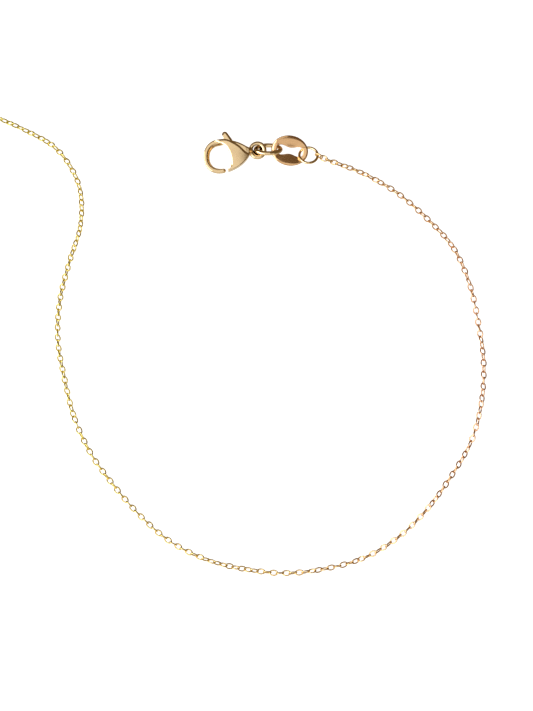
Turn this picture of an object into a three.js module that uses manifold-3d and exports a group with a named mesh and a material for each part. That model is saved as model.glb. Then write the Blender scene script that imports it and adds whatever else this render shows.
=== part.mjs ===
// Fine cable chain bracelet with a trigger clasp, unfastened and laid flat.
// Millimetres, +Z up, lying on z = 0. The group's origin is the middle of the bottom of its own box.
import * as THREE from 'three';
import { mergeVertices } from 'three/addons/utils/BufferGeometryUtils.js';
import Module from 'manifold-3d';

const wasm = await Module();
wasm.setup();

// ---- Driving dimensions ---------------------------------------------------
// Every place below is measured from the middle of the thin ring that starts the chain.

// Wire and rings
const THIN_WIRE = 0.36; // thin rings at both ends of the chain
const THIN_RING_OUTER = 2.84;
const THIN_RING_TILT = 28.5; // degrees about the chain's direction
const THICK_WIRE = 0.58; // oval jump ring between the clasp and the tag
const OVAL_LONG = 3.92; // outer sizes of the oval jump ring
const OVAL_SHORT = 2.54;
const OVAL_TILT = 51;
const OVAL_CENTRE = { x: -5.44, y: 0.77 };

// Links of the chain
const LINK_LONG = 1.28;
const LINK_WIDE = 0.86;
const LINK_WIRE = 0.18;
const LINK_GAP = 0.09; // play between the end of a link and the ring that it hangs in
const TUBE_GAP = 0.3; // the plain stretch of the chain stops this far from its end links

// Clasp
const BODY_THICK = 2.12;
const BODY_BEVEL = 0.08;
const PIVOT = { x: -10.8, y: 1.35 };
const EYE = { x: -6.87, y: 0.63 };
const EYE_OUTER = 2.44;
const EYE_HOLE = 1.38;
const EYE_THICK = 0.64;
const NECK = { from: -9.1, front: 0.14, wide: 0.9, thick: 1.6, foot: 0.45, lap: 0.1 };
const HOOK_THICK = 1.4;
const HOOK_WIDE = 0.78; // at its root
const HOOK_TIP_WIDE = 0.52;
const HOOK_TIP_THIN = 0.75; // share of the thickness that is left at the tip
const HOOK_TAPER = 1.5;
const HOOK_NOSE = { from: 0.96, cut: 0.7 }; // the last stretch rounds off to a blunt end
const LEVER_THICK = 0.72;
const LEVER_BEVEL = 0.06;
const LEVER_PLAY = 0.07; // above and below the lever in its slot
const PIN_DIAMETER = 0.4;
const PIN_SEAT_PLAY = 0.02; // around the pin in the cheeks
const PIN_PLAY = 0.04; // around the pin in the lever
const PIN_SUNK = 0.02; // its ends lie just below the faces of the body
const PAST = 1; // a cutter reaches this far past what it cuts

// Oval tag
const TAG_CENTRE = { x: -2.54, y: 0.61 };
const TAG_LONG = 5.0;
const TAG_WIDE = 4.0;
const TAG_THICK = 0.34;
const TAG_TURN = -8; // degrees about Z
const TAG_HOLE_LONG = 3.54;
const TAG_HOLE_SHIFT = 0.05; // the hole sits this far towards the chain
const TAG_HOLE_END = 0.82; // half the hole's height near its two ends, before they round off
const TAG_WAIST = 0.5; // the sides bulge in over this share of it
const TAG_ROLL = 12; // the far side lies higher than the near one
const TAG_FOLD = 10; // each side is bent up from the middle by this angle
const TAG_FLAT = 0.7; // half the width that stays flat along the middle
const TAG_HEIGHT = 0.82; // middle of the plate above the ground
const TAG_SLOPE = -0.13; // rise of the plate along its length

// The middle line of the chain, from its thin ring to its far end ring
const CHAIN_ROUTE = [
  { x: 2.3, y: -0.5, z: 0.52 }, { x: 4.5, y: -1.3 }, { x: 7.1, y: -2.3 },
  { x: 11.9, y: -5.0 }, { x: 16.0, y: -8.5 },
  { x: 19.6, y: -12.5 }, { x: 21.8, y: -17.4 }, { x: 23.0, y: -22.8 }, { x: 23.7, y: -28.1 },
  { x: 23.4, y: -33.4 }, { x: 22.0, y: -38.7 }, { x: 19.3, y: -43.4 }, { x: 16.1, y: -47.8 },
  { x: 12.2, y: -51.6 }, { x: 7.6, y: -54.4 }, { x: 2.3, y: -55.9 }, { x: -3.0, y: -56.5 },
  { x: -8.4, y: -56.0 }, { x: -13.7, y: -54.7 }, { x: -18.6, y: -52.3 }, { x: -22.7, y: -48.8 },
  { x: -26.3, y: -44.7 }, { x: -29.4, y: -40.4 }, { x: -31.7, y: -35.4 }, { x: -33.0, y: -30.2 },
  { x: -33.9, y: -24.9 }, { x: -33.6, y: -19.5 }, { x: -32.3, y: -14.3 }, { x: -30.8, y: -9.2 },
  { x: -31.1, y: -3.9 }, { x: -34.0, y: 0.8 }, { x: -38.5, y: 3.5 }, { x: -42.9, y: 5.4 },
  { x: -46.2, y: 6.5, z: 0.5 },
];
const CHAIN_STEPS = 80;
const CHAIN_SIDES = 8;

// Fineness of the round shapes
const RING_STEPS = 36;
const WIRE_SIDES = 10;
const LINK_STEPS = 14;
const LINK_SIDES = 6;
const TAG_STEPS = 48;
const HOOK_STEPS = 40;
const HOOK_SIDES = 16;
const PIN_SIDES = 16;
const CURVE_STEPS = 8;

// ---- Sizes that follow ------------------------------------------------------
const OVAL_HALF_SHORT = (OVAL_SHORT - THICK_WIRE) / 2;
const OVAL_HEIGHT = OVAL_HALF_SHORT * Math.sin(rad(OVAL_TILT)) + THICK_WIRE / 2;
const MID_HEIGHT = BODY_THICK / 2;
const SLOT_THICK = LEVER_THICK + 2 * LEVER_PLAY;
const THIN_RADIUS = (THIN_RING_OUTER - THIN_WIRE) / 2;
const THIN_HEIGHT = THIN_RADIUS * Math.sin(rad(THIN_RING_TILT)) + THIN_WIRE / 2;
const CHAIN_HEIGHT = LINK_WIDE / 2;

function rad(degrees) {
  return THREE.MathUtils.degToRad(degrees);
}

// ---- Finishes ----------------------------------------------------------------
function gold(color, roughness) {
  return new THREE.MeshStandardMaterial({ color, roughness, metalness: 1 });
}

const castGold = () => gold(0xdcb982, 0.22);
const wireGold = () => gold(0xd2ab72, 0.2);
const tagGold = () => gold(0xcfa273, 0.3);
const chainGold = () => gold(0xd9a468, 0.25);

// ---- Solids --------------------------------------------------------------------
function solidOf(geometry) {
  const bare = geometry.clone();
  bare.deleteAttribute('normal');
  bare.deleteAttribute('uv');
  const merged = mergeVertices(bare, 1e-5);
  return new wasm.Manifold(new wasm.Mesh({
    numProp: 3,
    vertProperties: new Float32Array(merged.attributes.position.array),
    triVerts: new Uint32Array(merged.index.array),
  }));
}

function geometryOf(solid) {
  const mesh = solid.getMesh();
  const geometry = new THREE.BufferGeometry();
  geometry.setAttribute('position', new THREE.BufferAttribute(mesh.vertProperties, 3));
  geometry.setIndex(new THREE.BufferAttribute(mesh.triVerts, 1));
  geometry.computeVertexNormals();
  return geometry;
}

function mapPoints(geometry, move) {
  const position = geometry.attributes.position;
  const point = new THREE.Vector3();
  for (let i = 0; i < position.count; i += 1) {
    point.fromBufferAttribute(position, i);
    move(point);
    position.setXYZ(i, point.x, point.y, point.z);
  }
  geometry.computeVertexNormals();
  return geometry;
}

// A closed oval of wire in the XY plane. The wire's own section may be an ellipse.
function ovalRing({ halfLong, halfShort, wireWide, wireThick = wireWide, steps, sides }) {
  const unit = 0.25;
  const torus = new THREE.TorusGeometry(1, unit, sides, steps);
  return mapPoints(torus, (p) => {
    const around = Math.atan2(p.y, p.x);
    const out = (Math.hypot(p.x, p.y) - 1) / unit;
    const normal = new THREE.Vector2(Math.cos(around) * halfShort, Math.sin(around) * halfLong);
    normal.normalize();
    const reach = out * wireWide / 2;
    const up = p.z / unit * wireThick / 2;
    const x = halfLong * Math.cos(around) + normal.x * reach;
    const y = halfShort * Math.sin(around) + normal.y * reach;
    p.set(x, y, up);
  });
}

function roundRing(outer, wire, tilt, height) {
  const radius = (outer - wire) / 2;
  const ring = ovalRing({
    halfLong: radius, halfShort: radius, wireWide: wire, steps: RING_STEPS, sides: WIRE_SIDES,
  });
  return ring.rotateX(-rad(tilt)).translate(0, 0, height);
}

function linkShape() {
  return ovalRing({
    halfLong: (LINK_LONG - LINK_WIRE) / 2, halfShort: (LINK_WIDE - LINK_WIRE) / 2,
    wireWide: LINK_WIRE, steps: LINK_STEPS, sides: LINK_SIDES,
  });
}

// ---- Clasp ----------------------------------------------------------------------
function plate(shape, bottom, top, bevel) {
  const options = {
    depth: top - bottom - 2 * bevel, curveSegments: CURVE_STEPS, bevelEnabled: bevel > 0,
    bevelThickness: bevel, bevelSize: bevel, bevelOffset: -bevel, bevelSegments: 2,
  };
  return solidOf(new THREE.ExtrudeGeometry(shape, options).translate(0, 0, bottom + bevel));
}

function fanShape() {
  const shape = new THREE.Shape();
  shape.moveTo(-12.7, 1.82);
  shape.quadraticCurveTo(-11.95, 2.08, -11.2, 2.03);
  shape.quadraticCurveTo(-10.1, 1.92, -8.9, 1.25);
  shape.quadraticCurveTo(-8.25, 0.9, -8.0, 0.1);
  shape.quadraticCurveTo(-8.75, -1.47, -10.5, -2.14);
  shape.lineTo(-10.84, -2.24);
  shape.lineTo(-10.86, -1.94);
  shape.lineTo(-10.5, -1.9);
  shape.lineTo(-10.42, -1.4);
  shape.bezierCurveTo(-10.35, -0.1, -11.0, 1.42, -12.0, 1.5);
  return shape;
}

// Room for the lever between the two cheeks, open at the gate and above the tab.
function slotShape() {
  const shape = new THREE.Shape();
  shape.moveTo(-12.0, 0.5);
  shape.quadraticCurveTo(-11.95, 1.35, -11.55, 1.66);
  shape.lineTo(-11.5, 2.6);
  shape.lineTo(-9.8, 2.6);
  shape.lineTo(-9.8, 1.2);
  shape.quadraticCurveTo(-10.05, 0.7, -10.05, 0);
  shape.lineTo(-10.05, -0.9);
  shape.quadraticCurveTo(-10.1, -1.6, -10.5, -1.9);
  shape.lineTo(-11.2, -1.9);
  return shape;
}

function leverShape() {
  const shape = new THREE.Shape();
  shape.moveTo(-11.58, 1.0);
  shape.bezierCurveTo(-11.15, 0.6, -11.05, -0.6, -10.84, -1.3);
  shape.quadraticCurveTo(-11.12, -1.62, -10.94, -1.8);
  shape.quadraticCurveTo(-10.6, -1.86, -10.4, -1.4);
  shape.bezierCurveTo(-10.2, -0.8, -10.35, 0.2, -10.25, 0.9);
  shape.quadraticCurveTo(-10.1, 1.4, -10.26, 2.0);
  shape.lineTo(-10.96, 2.96);
  shape.absarc(-11.28, 2.77, 0.36, rad(30), rad(190), false);
  shape.quadraticCurveTo(-11.36, 2.3, -11.36, 2.0);
  shape.quadraticCurveTo(-11.3, 1.5, -11.58, 1.0);
  return shape;
}

function hookSolid() {
  const line = new THREE.CatmullRomCurve3([
    [-11.1, 1.58], [-11.8, 1.66], [-12.55, 1.56], [-13.2, 1.17], [-13.62, 0.55], [-13.76, -0.15],
    [-13.7, -0.85], [-13.42, -1.48], [-12.95, -1.93], [-12.35, -2.15], [-11.75, -2.18], [-11.16, -2.08],
  ].map(([x, y]) => new THREE.Vector3(x, y, MID_HEIGHT)));
  const section = new THREE.Shape().absellipse(0, 0, 1, 1, 0, 2 * Math.PI);
  const sweep = new THREE.ExtrudeGeometry(section, {
    steps: HOOK_STEPS, extrudePath: line, curveSegments: HOOK_SIDES / 2, bevelEnabled: false,
  });
  const spine = line.getSpacedPoints(HOOK_STEPS);
  return solidOf(taperHook(sweep, spine));
}

// The hook is broad at its root and narrows to a blunt round tip.
function taperHook(sweep, spine) {
  return mapPoints(sweep, (p) => {
    const at = nearest(spine, p);
    const t = at / (spine.length - 1);
    const end = Math.max(0, (t - HOOK_NOSE.from) / (1 - HOOK_NOSE.from));
    const nose = Math.sqrt(1 - HOOK_NOSE.cut * end ** 2);
    const wide = THREE.MathUtils.lerp(HOOK_WIDE, HOOK_TIP_WIDE, t ** HOOK_TAPER) * nose;
    const thick = THREE.MathUtils.lerp(1, HOOK_TIP_THIN, t) * HOOK_THICK * nose;
    const halves = new THREE.Vector3(wide / 2, wide / 2, thick / 2);
    p.sub(spine[at]).multiply(halves).add(spine[at]);
  });
}

function nearest(spine, point) {
  let best = 0;
  spine.forEach((place, i) => {
    if (place.distanceTo(point) < spine[best].distanceTo(point)) best = i;
  });
  return best;
}

// The neck slopes down from the thick body to the thin eye, and is eased where it laps the eye.
function neckSolid() {
  const eyeX = EYE.x - EYE_HOLE / 2 - NECK.lap;
  const profile = [[NECK.from, NECK.thick / 2], [eyeX - NECK.foot, EYE_THICK / 2], [eyeX, 0.4 * EYE_THICK]];
  const over = profile.map(([x, up]) => new THREE.Vector2(x, MID_HEIGHT + up)).reverse();
  const under = profile.map(([x, down]) => new THREE.Vector2(x, MID_HEIGHT - down));
  const side = new THREE.Shape([...under, ...over]);
  const neck = new THREE.ExtrudeGeometry(side, { depth: NECK.wide, bevelEnabled: false });
  return solidOf(neck.rotateX(rad(90)).translate(0, NECK.front + NECK.wide, 0));
}

function eyeSolid() {
  const ring = ovalRing({
    halfLong: (EYE_OUTER + EYE_HOLE) / 4, halfShort: (EYE_OUTER + EYE_HOLE) / 4,
    wireWide: (EYE_OUTER - EYE_HOLE) / 2, wireThick: EYE_THICK, steps: RING_STEPS, sides: WIRE_SIDES,
  });
  return solidOf(ring.translate(EYE.x, EYE.y, MID_HEIGHT));
}

function eyeHoleCutter() {
  const cutter = new THREE.CylinderGeometry(EYE_HOLE / 2, EYE_HOLE / 2, BODY_THICK, RING_STEPS);
  return solidOf(cutter.rotateX(rad(90)).translate(EYE.x, EYE.y, MID_HEIGHT));
}

function pinCylinder(diameter, bottom, top) {
  const pin = new THREE.CylinderGeometry(diameter / 2, diameter / 2, top - bottom, PIN_SIDES);
  return pin.rotateX(rad(90)).translate(PIVOT.x, PIVOT.y, (bottom + top) / 2);
}

function claspBody() {
  const slot = plate(slotShape(), MID_HEIGHT - SLOT_THICK / 2, MID_HEIGHT + SLOT_THICK / 2, 0);
  const seat = solidOf(pinCylinder(PIN_DIAMETER + 2 * PIN_SEAT_PLAY, -PAST, BODY_THICK + PAST));
  const fan = plate(fanShape(), 0, BODY_THICK, BODY_BEVEL);
  const root = hookSolid().subtract(plate(slotShape(), -PAST, BODY_THICK + PAST, 0));
  const cast = fan.subtract(slot).add(root).add(neckSolid()).subtract(eyeHoleCutter()).add(eyeSolid());
  return geometryOf(cast.subtract(seat));
}

function triggerLever() {
  const low = MID_HEIGHT - LEVER_THICK / 2;
  const lever = plate(leverShape(), low, low + LEVER_THICK, LEVER_BEVEL);
  const bore = solidOf(pinCylinder(PIN_DIAMETER + 2 * PIN_PLAY, -PAST, BODY_THICK + PAST));
  return geometryOf(lever.subtract(bore));
}

function leverPin() {
  return pinCylinder(PIN_DIAMETER, PIN_SUNK, BODY_THICK - PIN_SUNK);
}

// ---- Rings, tag and chain ---------------------------------------------------------
function jumpRing() {
  const ring = ovalRing({
    halfLong: (OVAL_LONG - THICK_WIRE) / 2, halfShort: OVAL_HALF_SHORT,
    wireWide: THICK_WIRE, steps: RING_STEPS, sides: WIRE_SIDES,
  });
  return ring.rotateX(-rad(OVAL_TILT)).translate(OVAL_CENTRE.x, OVAL_CENTRE.y, OVAL_HEIGHT);
}

// Height of the tag's middle surface over its own long axis u and width v.
function tagRise(u, v) {
  const fold = Math.tan(rad(TAG_FOLD)) * Math.max(0, Math.abs(v) - TAG_FLAT);
  return TAG_SLOPE * u + Math.tan(rad(TAG_ROLL)) * v + fold;
}

// The tag is a ring of flat section: inside it follows the waisted hole, outside an ellipse.
function endTag() {
  const section = tagSection();
  const ring = new THREE.LatheGeometry(section, TAG_STEPS).rotateX(rad(90));
  mapPoints(ring, (p) => {
    const around = Math.atan2(p.y, p.x);
    const share = Math.hypot(p.x, p.y) - 1;
    const sine = Math.abs(Math.sin(around));
    const side = Math.sign(Math.sin(around));
    const holeHigh = side * TAG_HOLE_END * Math.sqrt(sine) * (1 - TAG_WAIST * sine ** 6);
    const holeU = TAG_HOLE_SHIFT + TAG_HOLE_LONG / 2 * Math.cos(around);
    const u = THREE.MathUtils.lerp(holeU, TAG_LONG / 2 * Math.cos(around), share);
    const v = THREE.MathUtils.lerp(holeHigh, TAG_WIDE / 2 * Math.sin(around), share);
    p.set(u, v, p.z * TAG_THICK / 2 + tagRise(u, v));
  });
  return ring.rotateZ(rad(TAG_TURN)).translate(TAG_CENTRE.x, TAG_CENTRE.y, TAG_HEIGHT);
}

// Closed profile, from 1 at the hole to 2 at the rim, whose margin thins to its edge.
function tagSection() {
  const half = [[1.0, 0.5], [1.07, 1], [1.3, 1], [1.55, 1], [1.76, 1], [1.9, 0.75], [2.0, 0.3]];
  const low = half.map(([r, h]) => new THREE.Vector2(r, -h));
  const high = half.map(([r, h]) => new THREE.Vector2(r, h)).reverse();
  return [...low, ...high, low[0].clone()];
}

function chainLine() {
  const points = CHAIN_ROUTE.map(({ x, y, z = CHAIN_HEIGHT }) => new THREE.Vector3(x, y, z));
  return new THREE.CatmullRomCurve3(points, false, 'centripetal');
}

function chainTube() {
  const section = new THREE.Shape();
  for (let i = 0; i < CHAIN_SIDES; i += 1) {
    const angle = 2 * Math.PI * (i + 0.5) / CHAIN_SIDES;
    const reach = LINK_WIDE / 2 / Math.cos(Math.PI / CHAIN_SIDES);
    if (i === 0) section.moveTo(reach * Math.cos(angle), reach * Math.sin(angle));
    else section.lineTo(reach * Math.cos(angle), reach * Math.sin(angle));
  }
  return new THREE.ExtrudeGeometry(section, {
    steps: CHAIN_STEPS, extrudePath: chainLine(), bevelEnabled: false,
  });
}

// A link hooked round a ring's wire, square to the way that the wire runs, and reaching towards the chain.
function endLink(wire, wireRun, towards) {
  const along = new THREE.Vector3().subVectors(towards, wire).normalize();
  const square = wireRun.clone().addScaledVector(along, -wireRun.dot(along)).normalize();
  const across = new THREE.Vector3().crossVectors(square, along);
  const reach = LINK_LONG / 2 - LINK_WIRE - LINK_GAP - THIN_WIRE / 2;
  const centre = wire.clone().addScaledVector(along, reach);
  return linkShape().applyMatrix4(new THREE.Matrix4().makeBasis(along, across, square).setPosition(centre));
}

// ---- Assembly ------------------------------------------------------------------------
function part(name, geometry, material) {
  const mesh = new THREE.Mesh(geometry, material);
  mesh.name = name;
  return mesh;
}

function thinRing() {
  return roundRing(THIN_RING_OUTER, THIN_WIRE, THIN_RING_TILT, THIN_HEIGHT);
}

// The far end ring lies as the first one does, with its near edge round the chain's last link.
function farRing() {
  const [before, end] = CHAIN_ROUTE.slice(-2).map(({ x, y }) => new THREE.Vector2(x, y));
  const out = end.clone().sub(before).normalize();
  const fromTube = TUBE_GAP + LINK_LONG - LINK_WIRE - LINK_GAP - THIN_WIRE / 2;
  const centre = end.clone().addScaledVector(out, fromTube + THIN_RADIUS);
  return { centre, turn: out.angle(), wire: end.clone().addScaledVector(out, fromTube) };
}

function bracelet() {
  const far = farRing();
  const [start] = chainLine().points;
  const end = chainLine().points.at(-1);
  const nearWire = new THREE.Vector3(THIN_RADIUS, 0, THIN_HEIGHT);
  const farWire = new THREE.Vector3(far.wire.x, far.wire.y, THIN_HEIGHT);
  const alongX = new THREE.Vector3(1, 0, 0);
  const wireRun = new THREE.Vector3(0, 1, 0).applyAxisAngle(alongX, -rad(THIN_RING_TILT));
  const farRun = wireRun.clone().applyAxisAngle(new THREE.Vector3(0, 0, 1), far.turn);
  const group = new THREE.Group();
  group.add(
    part('clasp_body', claspBody(), castGold()),
    part('trigger_lever', triggerLever(), castGold()),
    part('lever_pin', leverPin(), castGold()),
    part('jump_ring', jumpRing(), wireGold()),
    part('end_tag', endTag(), tagGold()),
    part('chain_ring', thinRing(), wireGold()),
    part('end_link_near', endLink(nearWire, wireRun, start), chainGold()),
    part('chain', chainTube(), chainGold()),
    part('end_link_far', endLink(farWire, farRun, end), chainGold()),
    part('end_ring', thinRing().rotateZ(far.turn).translate(far.centre.x, far.centre.y, 0), wireGold()),
  );
  return group;
}

const model = bracelet();
const box = new THREE.Box3().setFromObject(model);
const middle = box.getCenter(new THREE.Vector3());
for (const mesh of model.children) mesh.position.set(-middle.x, -middle.y, -box.min.z);

export default model;
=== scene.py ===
"""Fine gold cable chain bracelet with a trigger clasp, unfastened and laid flat on a pale surface.

Lengths in this script are millimetres. A mesh is turned into metres when it becomes a piece.
"""

import logging
import math
import random
from dataclasses import dataclass
from enum import Enum
from typing import Callable, Iterable, Sequence

import bmesh
import bpy
from mathutils import Matrix, Vector
from mathutils.geometry import interpolate_bezier
from mathutils.kdtree import KDTree


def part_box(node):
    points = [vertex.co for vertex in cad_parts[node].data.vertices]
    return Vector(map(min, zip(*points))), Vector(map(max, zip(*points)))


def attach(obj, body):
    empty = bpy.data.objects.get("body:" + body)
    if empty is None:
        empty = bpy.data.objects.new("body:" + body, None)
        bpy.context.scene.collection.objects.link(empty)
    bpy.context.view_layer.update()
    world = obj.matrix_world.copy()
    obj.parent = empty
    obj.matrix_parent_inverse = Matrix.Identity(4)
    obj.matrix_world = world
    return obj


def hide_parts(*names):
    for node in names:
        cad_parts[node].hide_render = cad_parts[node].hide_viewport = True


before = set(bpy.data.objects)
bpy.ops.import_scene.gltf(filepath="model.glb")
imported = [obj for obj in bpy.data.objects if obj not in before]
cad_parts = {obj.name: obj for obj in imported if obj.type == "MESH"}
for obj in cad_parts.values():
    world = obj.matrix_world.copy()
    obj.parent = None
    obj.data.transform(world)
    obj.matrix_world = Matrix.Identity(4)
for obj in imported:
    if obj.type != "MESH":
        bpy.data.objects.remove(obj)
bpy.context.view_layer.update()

MM = 0.001
MERGE = 1e-4
SEED = 7
RING_STEPS = (96, 24)
LINK_STEPS = (16, 5)
TAG_STEPS = 144
RIVET_STEPS = 32
log = logging.getLogger("bracelet")

Point = tuple[float, float]
Colour = tuple[float, float, float]
Triple = tuple[float, float, float]
Move = Callable[[Vector], Vector]


class Body(Enum):
    """The bodies that the pieces ride on."""

    BRACELET = "bracelet"
    LEVER = "lever"


class Slot(Enum):
    """The record's finishes."""

    CAST = "cast_gold"
    WIRE = "wire_gold"
    TAG = "tag_gold"
    CHAIN = "chain_gold"


# ---- The frame ---------------------------------------------------------------


def corners(node: str) -> tuple[Vector, Vector]:
    """Return the lowest and highest corner of a solid.

    Args:
        node: The solid's name.

    Returns:
        Both corners in millimetres.
    """
    low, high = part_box(node)
    return Vector(low) / MM, Vector(high) / MM


def middle(node: str) -> Vector:
    """Return the middle of a solid's box, in millimetres."""
    low, high = corners(node)
    return (low + high) / 2


# ---- Mesh helpers --------------------------------------------------------------


class Outline:
    """A closed flat outline drawn with lines, arcs and curves, like a path of a pen."""

    def __init__(self, start: Point, steps: int = 10) -> None:
        """Start the outline at a point.

        Args:
            start: The first point.
            steps: Points on each curved stretch.
        """
        self.points: list[Vector] = [Vector((*start, 0))]
        self.steps = steps

    def line(self, *stops: Point) -> "Outline":
        """Draw straight lines through the stops."""
        self.points.extend(Vector((*stop, 0)) for stop in stops)
        return self

    def cubic(self, first: Point, second: Point, end: Point) -> "Outline":
        """Draw a curve with two handles.

        Args:
            first: The handle of the start.
            second: The handle of the end.
            end: Where the curve ends.

        Returns:
            The outline itself.
        """
        knots = [self.points[-1], *(Vector((*p, 0)) for p in (first, second, end))]
        self.points.extend(interpolate_bezier(*knots, self.steps + 1)[1:])
        return self

    def bow(self, pull: Point, end: Point) -> "Outline":
        """Draw a curve that one point pulls to itself.

        Args:
            pull: The point that pulls.
            end: Where the curve ends.

        Returns:
            The outline itself.
        """
        start, to = self.points[-1].xy, Vector(end)
        handle = Vector(pull)
        first = start.lerp(handle, 2 / 3)
        second = to.lerp(handle, 2 / 3)
        return self.cubic(tuple(first), tuple(second), end)

    def arc(self, centre: Point, radius: float, start: float, end: float) -> "Outline":
        """Draw an arc anticlockwise.

        Args:
            centre: The arc's centre.
            radius: Its radius.
            start: Its first angle in degrees.
            end: Its last angle in degrees.

        Returns:
            The outline itself.
        """
        for step in range(self.steps + 1):
            angle = math.radians(start + (end - start) * step / self.steps)
            self.points.append(Vector((centre[0] + radius * math.cos(angle),
                                       centre[1] + radius * math.sin(angle), 0)))
        return self


def plate(outline: Outline, low: float, high: float) -> bmesh.types.BMesh:
    """Extrude an outline between two heights.

    Args:
        outline: The flat outline.
        low: The lower height.
        high: The upper height.

    Returns:
        A closed solid.
    """
    bm = bmesh.new()
    face = bm.faces.new([bm.verts.new(p + Vector((0, 0, low))) for p in outline.points])
    bmesh.ops.remove_doubles(bm, verts=bm.verts, dist=MERGE)
    grown = bmesh.ops.extrude_face_region(bm, geom=bm.faces[:])
    top = [v for v in grown["geom"] if isinstance(v, bmesh.types.BMVert)]
    bmesh.ops.translate(bm, vec=(0, 0, high - low), verts=top)
    bmesh.ops.recalc_face_normals(bm, faces=bm.faces)
    return bm


def ease_edges(bm: bmesh.types.BMesh, radius: float, segments: int, chosen: Callable[[Vector], bool]) -> None:
    """Round the rim edges of a plate.

    Args:
        bm: The plate.
        radius: How far the rounding reaches.
        segments: How many strips it has.
        chosen: Whether the edge with this middle point is rounded.
    """
    rims = [
        e for e in bm.edges
        if len(e.link_faces) == 2
        and e.calc_face_angle(0) > math.radians(60)
        and abs(e.verts[0].co.z - e.verts[1].co.z) < MERGE
        and chosen((e.verts[0].co + e.verts[1].co) / 2)
    ]
    bmesh.ops.bevel(bm, geom=rims, offset=radius, offset_type="OFFSET", affect="EDGES", segments=segments,
                    profile=0.5, material=-1, clamp_overlap=False)


def wire_ring(half_long: float, half_short: float, wire: float, steps: int, sides: int) -> bmesh.types.BMesh:
    """Bend a wire into a closed oval ring round Z.

    Args:
        half_long: Half the wire's middle line along X.
        half_short: The same along Y.
        wire: The wire's diameter.
        steps: Stations round the ring.
        sides: Sides of the wire.

    Returns:
        The closed ring.
    """
    bm = bmesh.new()
    bmesh.ops.create_circle(bm, segments=sides, radius=wire / 2, matrix=Matrix.Rotation(math.pi / 2, 4, "X"))
    bmesh.ops.translate(bm, vec=(1 + half_long, 0, 0), verts=bm.verts)
    bmesh.ops.spin(bm, geom=bm.verts[:] + bm.edges[:], cent=(0, 0, 0), axis=(0, 0, 1), dvec=(0, 0, 0),
                   angle=2 * math.pi, steps=steps, use_merge=True, use_duplicate=False)

    def to_oval(p: Vector) -> Vector:
        around = math.atan2(p.y, p.x)
        out = p.xy.length - (1 + half_long)
        normal = Vector((math.cos(around) * half_short, math.sin(around) * half_long)).normalized()
        x = half_long * math.cos(around) + normal.x * out
        y = half_short * math.sin(around) + normal.y * out
        return Vector((x, y, p.z))

    return moved(bm, to_oval)


def moved(bm: bmesh.types.BMesh, move: Move) -> bmesh.types.BMesh:
    """Send every point of a mesh to its new place.

    Args:
        bm: The mesh.
        move: Gives the new place of a point.

    Returns:
        The same mesh.
    """
    for vert in bm.verts:
        vert.co = move(vert.co)
    return bm


def seated(bm: bmesh.types.BMesh, node: str) -> bmesh.types.BMesh:
    """Move a mesh so that the middle of its box is that of a solid.

    Args:
        bm: The mesh.
        node: The solid's name.

    Returns:
        The same mesh.
    """
    reach = [[v.co[axis] for v in bm.verts] for axis in range(3)]
    own = Vector([(min(values) + max(values)) / 2 for values in reach])
    shift = middle(node) - own
    return moved(bm, lambda p: p + shift)


def sweep(stations: Sequence[tuple[Matrix, Sequence[Point]]]) -> bmesh.types.BMesh:
    """Loft a closed solid through sections.

    Args:
        stations: The place of each section and its outline in that place's XY plane.

    Returns:
        The closed solid.
    """
    bm = bmesh.new()
    before: list[bmesh.types.BMEdge] = []
    for place, section in stations:
        ring = bmesh.ops.create_circle(bm, segments=len(section), radius=1, cap_ends=False)["verts"]
        for vert, (across, up) in zip(ring, section):
            vert.co = place @ Vector((across, up, 0))
        loop = list({e for v in ring for e in v.link_edges})
        if before:
            bmesh.ops.bridge_loops(bm, edges=before + loop)
        before = loop
    bmesh.ops.holes_fill(bm, edges=[e for e in bm.edges if e.is_boundary])
    bmesh.ops.recalc_face_normals(bm, faces=bm.faces)
    return bm


def joined(parts: Iterable[bmesh.types.BMesh]) -> bmesh.types.BMesh:
    """Put several meshes in one.

    Args:
        parts: The meshes, which are freed.

    Returns:
        One mesh that holds them all.
    """
    whole = bmesh.new()
    for bm in parts:
        mesh = bpy.data.meshes.new("part")
        bm.to_mesh(mesh)
        bm.free()
        whole.from_mesh(mesh)
        bpy.data.meshes.remove(mesh)
    return whole


def working_object(bm: bmesh.types.BMesh, name: str) -> bpy.types.Object:
    """Make a scratch object of a mesh, still in millimetres.

    Args:
        bm: The mesh, which is freed.
        name: The object's name.

    Returns:
        The linked object.
    """
    mesh = bpy.data.meshes.new(name)
    bm.to_mesh(mesh)
    bm.free()
    obj = bpy.data.objects.new(name, mesh)
    bpy.context.scene.collection.objects.link(obj)
    return obj


def applied(obj: bpy.types.Object) -> bmesh.types.BMesh:
    """Return an object's mesh with its modifiers applied, and remove the object."""
    bpy.context.view_layer.update()
    solved = obj.evaluated_get(bpy.context.evaluated_depsgraph_get())
    bm = bmesh.new()
    bm.from_mesh(solved.to_mesh())
    solved.to_mesh_clear()
    mesh = obj.data
    bpy.data.objects.remove(obj)
    bpy.data.meshes.remove(mesh)
    return bm


def cut(bm: bmesh.types.BMesh, tool: bmesh.types.BMesh) -> bmesh.types.BMesh:
    """Cut one solid out of another.

    Args:
        bm: What is cut.
        tool: The solid taken away.

    Returns:
        What is left.
    """
    base = working_object(bm, "cut_base")
    knife = working_object(tool, "cut_tool")
    boolean = base.modifiers.new("cut", "BOOLEAN")
    boolean.operation = "DIFFERENCE"
    boolean.solver = "EXACT"
    boolean.object = knife
    left = applied(base)
    mesh = knife.data
    bpy.data.objects.remove(knife)
    bpy.data.meshes.remove(mesh)
    return left


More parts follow.
